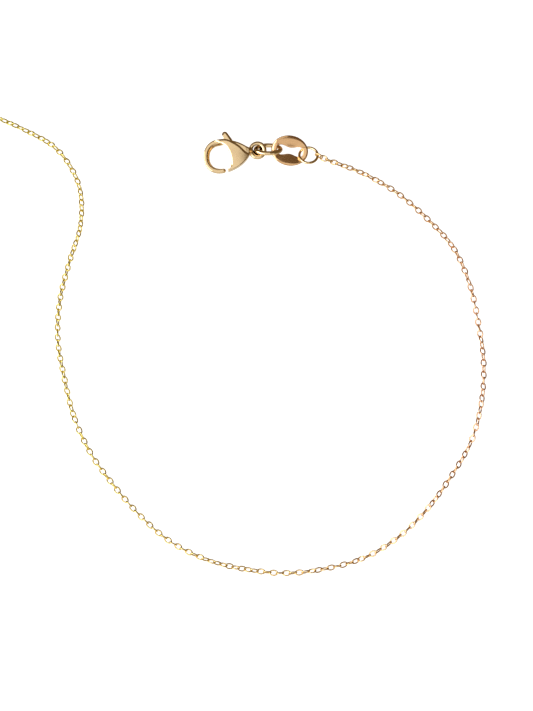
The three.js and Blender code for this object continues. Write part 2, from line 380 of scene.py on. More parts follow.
def fused(bm: bmesh.types.BMesh, voxel: float, smoothing: int) -> bmesh.types.BMesh:
    """Melt overlapping solids into one skin and polish it.

    Args:
        bm: The overlapping solids.
        voxel: The fineness of the skin.
        smoothing: How many times it is polished.

    Returns:
        One closed skin.
    """
    obj = working_object(bm, "fuse")
    remesh = obj.modifiers.new("skin", "REMESH")
    remesh.mode = "VOXEL"
    remesh.voxel_size = voxel
    skin = applied(obj)
    for _ in range(smoothing):
        bmesh.ops.smooth_vert(skin, verts=skin.verts, factor=0.5,
                              use_axis_x=True, use_axis_y=True, use_axis_z=True)
    return skin


def banked(bm: bmesh.types.BMesh, mid: float, half: float, keep: float,
           banks: Sequence[tuple[Outline, float, float]]) -> bmesh.types.BMesh:
    """Slope the upper and lower face of a level solid down towards some of its edges.

    Args:
        bm: The finely meshed solid.
        mid: The height of its middle.
        half: Half its thickness.
        keep: Up to this height over and under the middle nothing moves.
        banks: The line of each such edge, how far its slope reaches and how far it drops.

    Returns:
        The same mesh.
    """
    trees = []
    for line, reach, drop in banks:
        tree = KDTree(len(line.points))
        for index, point in enumerate(line.points):
            tree.insert(point, index)
        tree.balance()
        trees.append((tree, reach, drop))

    def lowered(p: Vector) -> Vector:
        over = abs(p.z - mid) - keep
        if over <= 0:
            return p
        flat = Vector((p.x, p.y, 0))
        fall = max(drop * max(0.0, 1 - tree.find(flat)[2] / reach) for tree, reach, drop in trees)
        return Vector((p.x, p.y, p.z - math.copysign(over * fall / (half - keep), p.z - mid)))

    return moved(bm, lowered)


def add_piece(bm: bmesh.types.BMesh, name: str, body: Body, material: bpy.types.Material,
              stands_for: Sequence[str]) -> bpy.types.Object:
    """Turn a mesh in millimetres into a finished piece.

    Args:
        bm: The mesh, which is freed.
        name: The piece's name.
        body: The body that it rides on.
        material: Its material.
        stands_for: The solids that it replaces.

    Returns:
        The new object.
    """
    bmesh.ops.remove_doubles(bm, verts=bm.verts, dist=MERGE)
    bmesh.ops.recalc_face_normals(bm, faces=bm.faces)
    bmesh.ops.scale(bm, vec=(MM, MM, MM), verts=bm.verts)
    for face in bm.faces:
        face.smooth = True
    obj = working_object(bm, name)
    obj.data.materials.append(material)
    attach(obj, body.value)
    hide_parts(*stands_for)
    log.info("%s: %d faces", name, len(obj.data.polygons))
    return obj


# ---- Finishes --------------------------------------------------------------------


class Shader:
    """A material's nodes around one principled shader."""

    def __init__(self, name: str) -> None:
        """Make the material and its coordinate nodes, with patterns in millimetres."""
        self.material = bpy.data.materials.new(name)
        self.material.use_nodes = True
        self.tree = self.material.node_tree
        self.main = self.tree.nodes["Principled BSDF"]
        self.place = self.tree.nodes.new("ShaderNodeTexCoord").outputs["Object"]

    def node(self, kind: str, inputs: dict[str | int, object], **settings: object) -> bpy.types.Node:
        """Add a node.

        Args:
            kind: The node's type.
            inputs: A value or an output for each input.
            settings: The node's own settings.

        Returns:
            The node.
        """
        node = self.tree.nodes.new(kind)
        for key, value in settings.items():
            setattr(node, key, value)
        for key, value in inputs.items():
            self.join(value, node.inputs[key])
        return node

    def join(self, value: object, socket: bpy.types.NodeSocket) -> None:
        """Link an output to a socket, or set the socket to a plain value."""
        if isinstance(value, bpy.types.NodeSocket):
            self.tree.links.new(value, socket)
        else:
            socket.default_value = value

    def grain(self, scale: Triple, detail: float, lay: float = 0.0) -> bpy.types.NodeSocket:
        """Return a noise.

        Args:
            scale: Its repeats to a millimetre along each axis.
            detail: How many finer noises it adds.
            lay: How far the pattern is turned about Z, in degrees.

        Returns:
            The noise from 0 to 1.
        """
        inputs = {"Vector": self.place, "Rotation": (0.0, 0.0, math.radians(lay)),
                  "Scale": tuple(MM / s for s in scale)}
        mapping = self.node("ShaderNodeMapping", inputs, vector_type="TEXTURE")
        inputs = {"Vector": mapping.outputs[0], "Scale": 1.0, "Detail": detail, "Roughness": 0.5}
        return self.node("ShaderNodeTexNoise", inputs).outputs["Fac"]

    def fit(self, value: bpy.types.NodeSocket, source: Point, target: Point) -> bpy.types.NodeSocket:
        """Map a value from one range to another."""
        inputs = {0: value, 1: source[0], 2: source[1], 3: target[0], 4: target[1]}
        return self.node("ShaderNodeMapRange", inputs).outputs[0]

    def blend(self, share: bpy.types.NodeSocket, first: object, second: object) -> bpy.types.NodeSocket:
        """Mix two colours by a share."""
        node = self.tree.nodes.new("ShaderNodeMix")
        node.data_type = "RGBA"
        for key, value in ((0, share), (6, first), (7, second)):
            self.join((*value, 1.0) if isinstance(value, tuple) else value, node.inputs[key])
        return node.outputs[2]


@dataclass(frozen=True)
class Gold:
    """A polished gold surface.

    Attributes:
        name: The material's name.
        colour: The metal's main colour.
        shade: The colour that it drifts to.
        gloss: Its lowest and highest roughness.
        brush: Repeats of the polishing marks to a millimetre along each axis.
        marks: How deep the polishing marks are, in millimetres.
        lay: The way of the marks, in degrees from X.
        drift: Where along X the colour gives way to the shade, in millimetres, as a painted tint of the light
            falling on one side. Without it they mix in clouds.
    """

    name: str
    colour: Colour
    shade: Colour
    gloss: Point
    brush: Triple
    marks: float
    lay: float = 0.0
    drift: Point | None = None

    def material(self, painted_shade: tuple[Vector, float] | None = None) -> bpy.types.Material:
        """Return the gold as a material.

        Args:
            painted_shade: Middle and radius in millimetres of a ball inside which the colour is darkened with
                painted shade, for the shade in the eye's bore.

        Returns:
            The material.
        """
        shader = Shader(self.name)
        cloud = shader.grain((0.6, 0.6, 0.6), 3)
        marks = shader.grain(self.brush, 2, self.lay)
        share = cloud
        # Painted tint of light: along X the colour shifts from one end to the other.
        if self.drift:
            along = shader.node("ShaderNodeSeparateXYZ", {0: shader.place}).outputs["X"]
            share = shader.fit(along, tuple(x * MM for x in self.drift), (0.0, 1.0))
        colour = shader.blend(share, self.colour, self.shade)
        # Painted shade: inside a ball round the eye's bore the colour darkens to a dark brown, standing for
        # the shade there.
        if painted_shade:
            reach = shader.node("ShaderNodeVectorMath", {0: shader.place, 1: painted_shade[0] * MM},
                                operation="DISTANCE")
            near = shader.fit(reach.outputs["Value"], (painted_shade[1] * MM, 0.8 * painted_shade[1] * MM), (0.0, 1.0))
            colour = shader.blend(near, colour, BORE_PAINTED_SHADE)
        shader.join(colour, shader.main.inputs["Base Color"])
        shader.join(shader.fit(cloud, (0.35, 0.65), self.gloss), shader.main.inputs["Roughness"])
        shader.main.inputs["Metallic"].default_value = 1.0
        bump = shader.node("ShaderNodeBump", {"Strength": 1.0, "Distance": self.marks * MM, "Height": marks})
        shader.join(bump.outputs[0], shader.main.inputs["Normal"])
        return shader.material


# Dark brown painted shade for the eye's bore.
BORE_PAINTED_SHADE: Colour = (0.15, 0.085, 0.035)
CAST_GOLD = Gold("cast_gold", (0.87, 0.69, 0.42), (0.82, 0.62, 0.35), (0.16, 0.24), (2.0, 14.0, 2.0), 0.0006)
WIRE_GOLD = Gold("wire_gold", (0.92, 0.73, 0.44), (0.85, 0.64, 0.36), (0.12, 0.2), (3.0, 3.0, 3.0), 0.0004)
TAG_GOLD = Gold("tag_gold", (0.84, 0.57, 0.32), (0.77, 0.48, 0.24), (0.13, 0.2),
                (0.8, 6.0, 6.0), 0.0014, 35.0)
# The chain's drift from yellow on the left to pinker on the right is a painted tint of the light, not a tone
# of the metal.
CHAIN_GOLD = Gold("chain_gold", (0.89, 0.77, 0.19), (0.9, 0.57, 0.35), (0.26, 0.36), (4.0, 4.0, 4.0), 0.0004,
                  drift=(-28.0, 36.0))


# ---- Clasp -----------------------------------------------------------------------


@dataclass
class ClaspBody:
    """The cast body: hook, two cheeks round the lever's slot, neck and eye. Its origin is the pivot.

    Attributes:
        thick: Thickness of the cheeks over both.
        slot: Height of the slot between them.
        hook_thick: Thickness of the hook.
        eye: Centre of the eye.
        eye_section: Radius and height of its ring's section, and the share of the bore's shift that
            each point takes.
        bore_shift: How far the slanting bore comes out from the middle below.
        painted_shade_reach: How far from the eye's middle the colour is darkened with painted shade.
        shoulder: Place, both sides and half the height of the shoulder's sections.
        voxel: Fineness of the fused skin.
        bank: How far the slope along the fan's upper edge reaches, and how far it drops.
        bank_from: Where that slope begins.
        brow_bank: The same slope over the gate.
        crown: How much the fan thins to both sides.
        hook_line: Points of the hook's middle line, from the fan to its tip.
    """

    thick: float = 2.1
    slot: float = 0.86
    hook_thick: float = 1.4
    eye: Point = (3.93, -0.72)
    eye_section: tuple[Triple, ...] = (
        (1.22, 0.0, 0.0), (1.21, 0.13, 0.0), (1.16, 0.23, 0.0), (1.07, 0.3, 0.0), (0.97, 0.32, 0.0),
        (0.87, 0.32, 0.0),
        (0.79, 0.3, 0.0), (0.72, 0.27, 0.0), (0.66, 0.21, 0.0), (0.6, 0.12, 0.25), (0.54, 0.0, 0.5),
        (0.48, -0.12, 0.8), (0.46, -0.22, 1.0), (0.52, -0.29, 0.95), (0.64, -0.32, 0.7), (0.8, -0.32, 0.4),
        (0.95, -0.32, 0.15), (1.07, -0.3, 0.0), (1.16, -0.23, 0.0), (1.21, -0.13, 0.0),
    )
    bore_shift: Point = (-0.21, 0.38)
    painted_shade_reach: float = 0.82
    shoulder: tuple[tuple[float, float, float, float], ...] = (
        (0.1, 0.55, -0.4, 0.84), (0.45, 0.57, -0.5, 0.88), (0.9, 0.48, -0.7, 0.9), (1.43, 0.31, -0.9, 0.9),
        (2.0, 0.04, -1.1, 0.89), (2.33, -0.14, -1.2, 0.88), (2.6, -0.28, -1.27, 0.86),
        (2.78, -0.36, -1.27, 0.85),
        (2.88, -0.39, -1.24, 0.81), (2.95, -0.4, -1.2, 0.64), (3.01, -0.41, -1.17, 0.44),
        (3.1, -0.42, -1.12, 0.3),
        (3.3, -0.42, -1.05, 0.26),
    )
    voxel: float = 0.038
    bank: Point = (0.21, 0.2)
    bank_from: float = -1.1
    brow_bank: Point = (0.2, 0.12)
    crown: float = 0.024
    hook_line: tuple[Point, ...] = (
        (-0.3, 0.23), (-1.0, 0.31), (-1.75, 0.21), (-2.4, -0.18), (-2.82, -0.8), (-2.96, -1.5),
        (-2.9, -2.2), (-2.62, -2.83), (-2.15, -3.28), (-1.55, -3.5), (-0.95, -3.53), (-0.36, -3.43),
    )

    def crest(self) -> Outline:
        """Return the fan's upper edge, from the hook to the tip beside the eye."""
        return (Outline((-1.9, 0.47), 24).cubic((-1.4, 0.72), (-1.0, 0.76), (-0.55, 0.755))
                .cubic((-0.2, 0.75), (0.15, 0.62), (0.45, 0.45)).bow((1.1, 0.15), (1.55, -0.19))
                .bow((2.0, -0.6), (2.33, -0.92)).bow((2.6, -1.08), (2.86, -1.2)))

    def brow(self) -> Outline:
        """Return the fan's edge over the gate."""
        return (Outline((0.38, -2.75), 90).cubic((0.45, -1.45), (-0.2, 0.07), (-1.2, 0.15))
                .bow((-1.55, 0.31), (-1.9, 0.47)))

    def cheek_outline(self) -> Outline:
        """Return the fan-shaped face of the body."""
        return (self.crest().line((2.84, -1.42)).bow((2.05, -2.82), (0.3, -3.49))
                .line((-0.04, -3.59), (-0.06, -3.29), (0.3, -3.25), (0.38, -2.75))
                .cubic((0.45, -1.45), (-0.2, 0.07), (-1.2, 0.15)))

    def slot_outline(self) -> Outline:
        """Return the room for the lever, open at the gate and above the tab."""
        return (Outline((-1.2, -0.85)).bow((-1.15, 0.0), (-0.75, 0.31))
                .line((-0.7, 1.25), (1.0, 1.25), (1.0, -0.15))
                .bow((0.75, -0.65), (0.75, -1.35)).line((0.75, -2.25)).bow((0.7, -2.95), (0.3, -3.25))
                .line((-0.4, -3.25)))

    def cheeks(self, mid: float) -> bmesh.types.BMesh:
        """Return the body's two cheeks, a little crowned, and the web behind the slot."""
        fan = plate(self.cheek_outline(), mid - self.thick / 2, mid + self.thick / 2)
        room = plate(self.slot_outline(), mid - self.slot / 2, mid + self.slot / 2)
        skin = fused(cut(fan, room), self.voxel, 0)
        edge = self.crest()
        edge.points = [p for p in edge.points if p.x > self.bank_from]
        banked(skin, mid, self.thick / 2, self.slot / 2, [(edge, *self.bank), (self.brow(), *self.brow_bank)])
        return moved(skin, lambda p: Vector((
            p.x, p.y, mid + (p.z - mid) * (1 - self.crown * (p.x - 0.6) ** 2))))

    def hook(self, mid: float) -> bmesh.types.BMesh:
        """Return the hook, broad and round outside with a chamfer inside that fades to the tip."""
        line = smooth_line([Vector((*p, mid)) for p in self.hook_line], 8)
        stations = []
        for step, place in enumerate(line):
            share = step / (len(line) - 1)
            ahead = line[min(step + 1, len(line) - 1)] - line[max(step - 1, 0)]
            stations.append((facing(place, ahead), self.hook_section(share)))
        rest = plate(self.slot_outline(), mid - self.slot / 2, mid + self.slot / 2)
        return cut(sweep(stations), rest)

    def hook_section(self, share: float) -> list[Point]:
        """Return the hook's section at a share of its length: across is away from the opening."""
        wide = (0.88 - 0.31 * share ** 2) / 2
        high = self.hook_thick / 2 * (1 - 0.25 * share)
        nose = math.sqrt(1 - 0.75 * max(0.0, (share - 0.96) / 0.04) ** 2)
        chamfer = (0.48 - 0.3 * max(0.0, (share - 0.55) / 0.45)) * 2 * wide
        corner = 0.14
        half = [
            (wide, 0.0), (wide, high * 0.45), (wide - 0.02, high * 0.72), (wide - corner * 0.35, high * 0.9),
            (wide - corner, high), (0.5 * wide, high), (-wide + chamfer, high),
            (-wide + chamfer * 0.62, high * 0.93),
            (-wide + chamfer * 0.1, high * 0.52), (-wide, high * 0.36),
        ]
        low = [(x, -y) for x, y in reversed(half[1:])]
        return [(x * nose, y * nose) for x, y in [*half, (-wide, 0.0), *low]]

    def neck(self, mid: float) -> bmesh.types.BMesh:
        """Return the shoulder that runs level behind the fan and drops steeply to the eye."""
        stations = []
        for x, top, bottom, high in self.shoulder:
            wide = (top - bottom) / 2
            ring = [(wide * soft(math.cos(a)), high * soft(math.sin(a)))
                    for a in (2 * math.pi * (k + 0.5) / 60 for k in range(60))]
            stations.append((facing(Vector((x, (top + bottom) / 2, mid)), Vector((1, 0, 0))), ring))
        return sweep(stations)

    def eye_solid(self, mid: float) -> bmesh.types.BMesh:
        """Return the eye: a rounded ring whose bore narrows inside and slants with the jump ring's wire."""
        bm = bmesh.new()
        ring = [bm.verts.new((r, 0, h)) for r, h, _ in self.eye_section]
        for a, b in zip(ring, ring[1:] + ring[:1]):
            bm.edges.new((a, b))
        bmesh.ops.spin(bm, geom=bm.verts[:] + bm.edges[:], cent=(0, 0, 0), axis=(0, 0, 1), dvec=(0, 0, 0),
                       angle=2 * math.pi, steps=72, use_merge=True, use_duplicate=False)
        shares = {(round(r, 4), round(h, 4)): share for r, h, share in self.eye_section}
        centre = Vector((*self.eye, mid))
        shift = Vector((*self.bore_shift, 0))
        return moved(bm, lambda p: p + centre + shift * shares[(round(p.xy.length, 4), round(p.z, 4))])

    def eye_hole(self, mid: float) -> bmesh.types.BMesh:
        """Return the cutter that keeps the neck out of the eye."""
        bm = bmesh.new()
        bmesh.ops.create_cone(bm, cap_ends=True, segments=72, radius1=0.8, radius2=0.8, depth=4,
                              matrix=Matrix.Translation((*self.eye, mid)))
        return bm

    def build(self) -> bmesh.types.BMesh:
        """Return the fused body in the frame's place."""
        pivot = middle("lever_pin")
        mid = pivot.z
        neck = cut(self.neck(mid), self.eye_hole(mid))
        skin = fused(joined([self.cheeks(mid), self.hook(mid), neck, self.eye_solid(mid)]), self.voxel, 4)
        return moved(skin, lambda p: p + Vector((pivot.x, pivot.y, 0)))

    def dress(self) -> None:
        """Add the body to the scene."""
        # The bore gets painted shade: the colour darkens inside a ball round the eye's middle.
        bore = middle("lever_pin") + Vector((*self.eye, 0)) + Vector((-0.05, 0.05, 0))
        gold = CAST_GOLD.material((bore, self.painted_shade_reach))
        add_piece(self.build(), "clasp_cast_body", Body.BRACELET, gold, ["clasp_body"])


def between(stations: tuple[Point, ...], place: float) -> float:
    """Return the value at a place among stations of (place, value)."""
    for (p0, v0), (p1, v1) in zip(stations, stations[1:]):
        if place <= p1:
            return v0 + (v1 - v0) * (place - p0) / (p1 - p0)
    return stations[-1][1]


def soft(value: float, power: float = 0.3) -> float:
    """Return a value from -1 to 1 pushed outwards, for sections between an ellipse and a box."""
    return math.copysign(abs(value) ** power, value)


def facing(place: Vector, ahead: Vector) -> Matrix:
    """Return the place of an upright section on a line.

    Args:
        place: A point on the line.
        ahead: The way that the line goes there.

    Returns:
        A matrix whose X is to the right of the line, Y is up and Z is along it.
    """
    along = ahead.normalized()
    across = along.cross(Vector((0, 0, 1))).normalized()
    up = across.cross(along)
    turn = Matrix((across, up, along)).transposed().to_4x4()
    return Matrix.Translation(place) @ turn


def smooth_line(points: Sequence[Vector], steps: int) -> list[Vector]:
    """Draw a centripetal Catmull-Rom curve through points.

    Args:
        points: The points that it passes.
        steps: Steps between one point and the next.

    Returns:
        The points of the curve.
    """
    guarded = [2 * points[0] - points[1], *points, 2 * points[-1] - points[-2]]
    line = []
    for knots in zip(guarded, guarded[1:], guarded[2:], guarded[3:]):
        times = [0.0]
        for a, b in zip(knots, knots[1:]):
            times.append(times[-1] + math.sqrt((b - a).length))
        for step in range(steps):
            line.append(blend_knots(knots, times, times[1] + (times[2] - times[1]) * step / steps))
    return [*line, points[-1].copy()]


def blend_knots(knots: Sequence[Vector], times: Sequence[float], now: float) -> Vector:
    """Return the curve's point at a time between its two middle knots."""
    row = list(knots)
    for reach in (1, 2):
        row = [a.lerp(b, (now - times[i]) / (times[i + reach] - times[i]))
               for i, (a, b) in enumerate(zip(row, row[1:]))]
    return row[0].lerp(row[1], (now - times[1]) / (times[2] - times[1]))


@dataclass
class TriggerLever:
    """The lever that closes the gate, with its thumb tab. Its origin is the pivot.

    Attributes:
        thick: Thickness of the lever.
        gate: How far the slope at the gate reaches, and how far it drops.
        tab: The same on the tab's side away from the gate.
        bore: Radius of the hole for the pin.
        voxel: Fineness of the skin.
    """

    thick: float = 0.72
    gate: Point = (0.56, 0.26)
    tab: Point = (0.24, 0.16)
    bore: float = 0.24
    voxel: float = 0.03

    def gate_edge(self) -> Outline:
        """Return the edge that closes the gate."""
        return (Outline((-0.85, -0.32), 90).cubic((-0.45, -0.85), (-0.02, -1.5), (-0.08, -2.65))
                .bow((-0.12, -2.95), (-0.06, -3.13)))

    def tab_edge(self) -> Outline:
        """Return the tab's side away from the gate and its tip."""
        return Outline((0.6, 0.5), 60).bow((0.25, 1.04), (-0.14, 1.6)).arc((-0.49, 1.4), 0.4, 30, 170)

    def outline(self) -> Outline:
        """Return the lever's side view."""
        return (self.gate_edge().bow((0.2, -3.21), (0.4, -2.75))
                .cubic((0.6, -2.15), (0.45, -1.15), (0.55, -0.45)).bow((0.7, 0.05), (0.54, 0.65))
                .line((-0.14, 1.6)).arc((-0.49, 1.4), 0.4, 30, 190).bow((-0.68, 1.1), (-0.66, 0.65))
                .bow((-0.6, 0.15), (-0.85, -0.32)))

    def build(self) -> bmesh.types.BMesh:
        """Return the lever in the frame's place."""
        pivot = middle("lever_pin")
        lever = plate(self.outline(), -self.thick / 2, self.thick / 2)
        hole = bmesh.new()
        bmesh.ops.create_cone(hole, cap_ends=True, segments=32, radius1=self.bore, radius2=self.bore, depth=4)
        skin = fused(cut(lever, hole), self.voxel, 2)
        banks = [(self.gate_edge(), *self.gate), (self.tab_edge(), *self.tab)]
        banked(skin, 0.0, self.thick / 2, 0.0, banks)
        for _ in range(2):
            bmesh.ops.smooth_vert(skin, verts=skin.verts, factor=0.5, use_axis_x=True, use_axis_y=True,
                                  use_axis_z=True)
        return moved(skin, lambda p: p + pivot)

    def dress(self) -> None:
        """Add the lever to the scene."""
        add_piece(self.build(), "gate_lever", Body.LEVER, CAST_GOLD.material(), ["trigger_lever"])


@dataclass
class Rivet:
    """The pin through the cheeks, with polished domed ends.

    Attributes:
        dome: How far each end is rounded.
    """

    dome: float = 0.06

    def dress(self) -> None:
        """Add the rivet to the scene."""
        low, high = corners("lever_pin")
        bm = bmesh.new()
        radius = (high.x - low.x) / 2
        bmesh.ops.create_cone(bm, cap_ends=True, segments=RIVET_STEPS, radius1=radius, radius2=radius,
                              depth=high.z - low.z, matrix=Matrix.Translation((low + high) / 2))
        ease_edges(bm, self.dome, 3, lambda p: True)
        add_piece(bm, "lever_rivet", Body.BRACELET, CAST_GOLD.material(), ["lever_pin"])


# ---- Rings and tag ---------------------------------------------------------------


@dataclass
class WireRing:
    """A closed ring of round wire, tilted about the chain's direction.

    Attributes:
        piece: The piece's name.
        node: The solid that it stands for.
        long: Its outer length.
        short: Its outer width.
        wire: The wire's diameter.
        tilt: Its tilt in degrees.
        turn: Its turn about Z in degrees.
    """

    piece: str
    node: str
    long: float
    short: float
    wire: float
    tilt: float
    turn: float = 0.0

    def dress(self) -> None:
        """Add the ring to the scene."""
        ring = wire_ring((self.long - self.wire) / 2, (self.short - self.wire) / 2, self.wire, *RING_STEPS)
        turn = (Matrix.Rotation(math.radians(self.turn), 4, "Z")
                @ Matrix.Rotation(-math.radians(self.tilt), 4, "X"))
        bmesh.ops.transform(ring, matrix=turn, verts=ring.verts)
        add_piece(seated(ring, self.node), self.piece, Body.BRACELET, WIRE_GOLD.material(),
                  [self.node])


@dataclass
class EndTag:
    """The flat oval tag with a waisted hole, folded a little along its length.

    Attributes:
        long: Outer length.
        wide: Outer width.
        thick: Thickness of the sheet.
        turn: Turn about Z in degrees.
        hole_long: Length of the hole.
        hole_shift: How far the hole sits towards the chain.
        hole_end: Half the hole's height near its ends.
        waist: How far its sides bulge in.
        roll: The far side lies higher by this angle.
        fold: Each side is bent up by this angle.
        flat: Half the width that stays flat.
        slope: Rise along the length.
        end_fall: Where the end towards the clasp begins to curl down, and how strongly.
        rim_fall: The same at the near side.
        tip_rise: Where the end towards the chain begins to level out, and how strongly.
    """

    long: float = 5.0
    wide: float = 4.0
    thick: float = 0.34
    turn: float = -8.0
    hole_long: float = 3.54
    hole_shift: float = 0.05
    hole_end: float = 0.82
    waist: float = 0.5
    roll: float = 12.0
    fold: float = 10.0
    flat: float = 0.7
    slope: float = -0.13
    end_fall: Point = (1.7, 0.4)
    rim_fall: Point = (1.55, 0.5)
    tip_rise: Point = (1.2, 0.06)
    section: tuple[Point, ...] = (
        (1.0, 0.0), (1.0, 0.5), (1.02, 0.8), (1.06, 0.95), (1.12, 1.0), (1.25, 1.0), (1.4, 1.0), (1.55, 1.0),
        (1.68, 1.0), (1.75, 0.99), (1.81, 0.92), (1.87, 0.82), (1.93, 0.66), (1.98, 0.42), (2.0, 0.2),
        (2.0, 0.0),
    )

    def rise(self, u: float, v: float) -> float:
        """Return the height of the sheet's middle over its long axis u and width v."""
        bent = max(0.0, abs(v) - self.flat)
        curl = self.end_fall[1] * max(0.0, -u - self.end_fall[0]) ** 2
        curl += self.rim_fall[1] * max(0.0, -v - self.rim_fall[0]) ** 2
        curl -= self.tip_rise[1] * max(0.0, u - self.tip_rise[0]) ** 2
        level = self.slope * u + math.tan(math.radians(self.roll)) * v
        return level + math.tan(math.radians(self.fold)) * bent - curl

    def place(self, p: Vector) -> Vector:
        """Send a point of the unit ring to its place on the tag."""
        around = math.atan2(p.y, p.x)
        share = p.xy.length - 1
        sine = abs(math.sin(around))
        hole = math.copysign(self.hole_end * math.sqrt(sine) * (1 - self.waist * sine ** 6), math.sin(around))
        hole_end = self.hole_shift + self.hole_long / 2 * math.cos(around)
        u = hole_end + share * (self.long / 2 * math.cos(around) - hole_end)
        v = hole + share * (self.wide / 2 * math.sin(around) - hole)
        return Vector((u, v, p.z * self.thick / 2 + self.rise(u, v)))

    def dress(self) -> None:
        """Add the tag to the scene."""
        bm = bmesh.new()
        rim = [*self.section, *((r, -h) for r, h in reversed(self.section[1:-1]))]
        ring = [bm.verts.new((r, 0, h)) for r, h in rim]
        for a, b in zip(ring, ring[1:] + ring[:1]):
            bm.edges.new((a, b))
        bmesh.ops.spin(bm, geom=bm.verts[:] + bm.edges[:], cent=(0, 0, 0), axis=(0, 0, 1), dvec=(0, 0, 0),
                       angle=2 * math.pi, steps=TAG_STEPS, use_merge=True, use_duplicate=False)
        moved(bm, self.place)
        bmesh.ops.rotate(bm, cent=(0, 0, 0), matrix=Matrix.Rotation(math.radians(self.turn), 3, "Z"),
                         verts=bm.verts)
        add_piece(seated(bm, "end_tag"), "oval_end_tag", Body.BRACELET, TAG_GOLD.material(),
                  ["end_tag"])


# ---- Chain -------------------------------------------------------------------------


@dataclass
class CableChain:
    """Fine cable chain of interlocked oval links, laid along a route.

    Attributes:
        long: Outer length of a link.
        wide: Outer width of a link.
        wire: Diameter of its wire.
        pitches: Share of the length, and the distance from one link to the next there.
        sway: How much a link turns off the line at random, in degrees.
        tumble: How much it rolls at random, in degrees.
        route: Points of the chain's middle line, from the middle of the chain's first ring.
        lean: Share of the length, and the roll of its even links there in degrees.
        settle: How far from each end the chain takes to come down to where it lies.
    """

    long: float = 1.28
    wide: float = 0.88
    wire: float = 0.2
    pitches: tuple[Point, ...] = (
        (0.0, 0.74), (0.07, 0.8), (0.36, 0.8), (0.44, 0.87), (0.5, 0.87), (0.56, 0.81), (0.71, 0.8),
        (0.76, 0.69), (0.85, 0.69), (0.9, 0.78), (1.0, 0.8),
    )
    sway: float = 4.0
    tumble: float = 12.0
    route: tuple[Point, ...] = (
        (2.3, -0.5), (4.5, -1.3), (7.1, -2.3), (11.9, -5.0), (16.0, -8.5), (19.6, -12.5), (21.8, -17.4),
        (23.0, -22.8), (23.7, -28.1), (23.4, -33.4), (22.0, -38.7), (19.3, -43.4), (16.1, -47.8),
        (12.2, -51.6), (7.6, -54.4), (2.3, -55.9), (-3.0, -56.5), (-8.4, -56.0), (-13.7, -54.7),
        (-18.6, -52.3), (-22.7, -48.8), (-26.3, -44.7), (-29.4, -40.4), (-31.7, -35.4), (-33.0, -30.2),
        (-33.9, -24.9), (-33.6, -19.5), (-32.3, -14.3), (-30.8, -9.2), (-31.1, -3.9), (-34.0, 0.8),
        (-38.5, 3.5), (-42.9, 5.4), (-46.2, 6.5),
    )
    lean: tuple[Point, ...] = (
        (0.0, 60), (0.005, 85), (0.02, 75), (0.028, 30), (0.048, 65), (0.06, 25), (0.115, 25),
        (0.13, 65), (0.155, 75),
        (0.165, 15), (0.2, 20), (0.215, 70), (0.24, 85), (0.26, 30), (0.285, 20), (0.295, 75), (0.33, 85),
        (0.355, 20), (0.41, 20), (0.42, 65), (0.445, 85), (0.462, 20), (0.49, 5), (0.508, 60), (0.52, 75),
        (0.55, 20), (0.59, 10), (0.69, 15), (0.7, 70), (0.76, 85), (0.82, 85), (0.84, 50), (0.9, 30),
        (0.95, 45), (1.0, 60),
    )
    settle: float = 4.0

    def link(self) -> bpy.types.Mesh:
        """Return one oval link lying flat along X."""
        bm = wire_ring((self.long - self.wire) / 2, (self.wide - self.wire) / 2, self.wire, *LINK_STEPS)
        bmesh.ops.recalc_face_normals(bm, faces=bm.faces)
        mesh = bpy.data.meshes.new("link")
        bm.to_mesh(mesh)
        bm.free()
        return mesh

    def line(self) -> list[Vector]:
        """Return the middle line from the first link to the last."""
        start = middle("chain_ring")
        stops = [Vector((start.x + x, start.y + y, 0)) for x, y in self.route]
        first, last = middle("end_link_near"), middle("end_link_far")
        return smooth_line([Vector((*first.xy, 0)), *stops, Vector((*last.xy, 0))], 40)

    def places(self) -> list[Matrix]:
        """Return the place of every link."""
        line = self.line()
        runs = [0.0]
        for a, b in zip(line, line[1:]):
            runs.append(runs[-1] + (b - a).length)
        links = [0.0]
        for run, further in zip(runs, runs[1:]):
            links.append(links[-1] + (further - run) / between(self.pitches, run / runs[-1]))
        count = round(links[-1])
        first, last = middle("end_link_near").z, middle("end_link_far").z
        chance = random.Random(SEED)
        spots, at = [], 0
        for index in range(count + 1):
            goal = links[-1] * index / count
            while at < len(links) - 2 and links[at + 1] < goal:
                at += 1
            part = (goal - links[at]) / (links[at + 1] - links[at])
            spot = line[at].lerp(line[at + 1], part)
            run = runs[at] + part * (runs[at + 1] - runs[at])
            lean = between(self.lean, run / runs[-1]) + self.tumble * chance.uniform(-1, 1)
            base = math.radians(lean)
            droop = math.acos(min(1.0, between(self.pitches, run / runs[-1]) / (self.long - 2 * self.wire)))
            high = (self.wide - self.wire) / 2 * max(abs(math.sin(base)), abs(math.cos(base)))
            rest = self.wire / 2 + math.hypot((self.long - self.wire) / 2 * math.sin(droop),
                                              high * math.cos(droop))
            start_pull = max(0.0, 1 - run / self.settle) ** 2
            end_pull = max(0.0, 1 - (runs[-1] - run) / self.settle) ** 2
            spot.z = rest + (first - rest) * start_pull + (last - rest) * end_pull
            ahead = (line[at + 1] - line[at]).normalized()
            calm = 1 - max(start_pull, end_pull)
            slope = droop * calm * (-1) ** index
            spots.append((spot, ahead, base + (index % 2) * math.pi / 2, slope, chance.uniform(-1, 1)))
        return [self.placed(*spot) for spot in spots]

    def placed(self, spot: Vector, ahead: Vector, roll: float, slope: float, chance: float) -> Matrix:
        """Return a link's place.

        Args:
            spot: Its middle.
            ahead: The way that the line runs there.
            roll: How far it is rolled about that way, in radians.
            slope: How far it tips up or down along it, in radians.
            chance: A random number from -1 to 1, for how much it sways.

        Returns:
            The link's matrix.
        """
        across = Vector((0, 0, 1)).cross(ahead)
        turn = Matrix((ahead, across, Vector((0, 0, 1)))).transposed().to_4x4()
        sway = Matrix.Rotation(math.radians(self.sway) * chance, 4, "Z")
        tip = Matrix.Rotation(slope, 4, "Y")
        return Matrix.Translation(spot) @ turn @ sway @ tip @ Matrix.Rotation(roll, 4, "X")

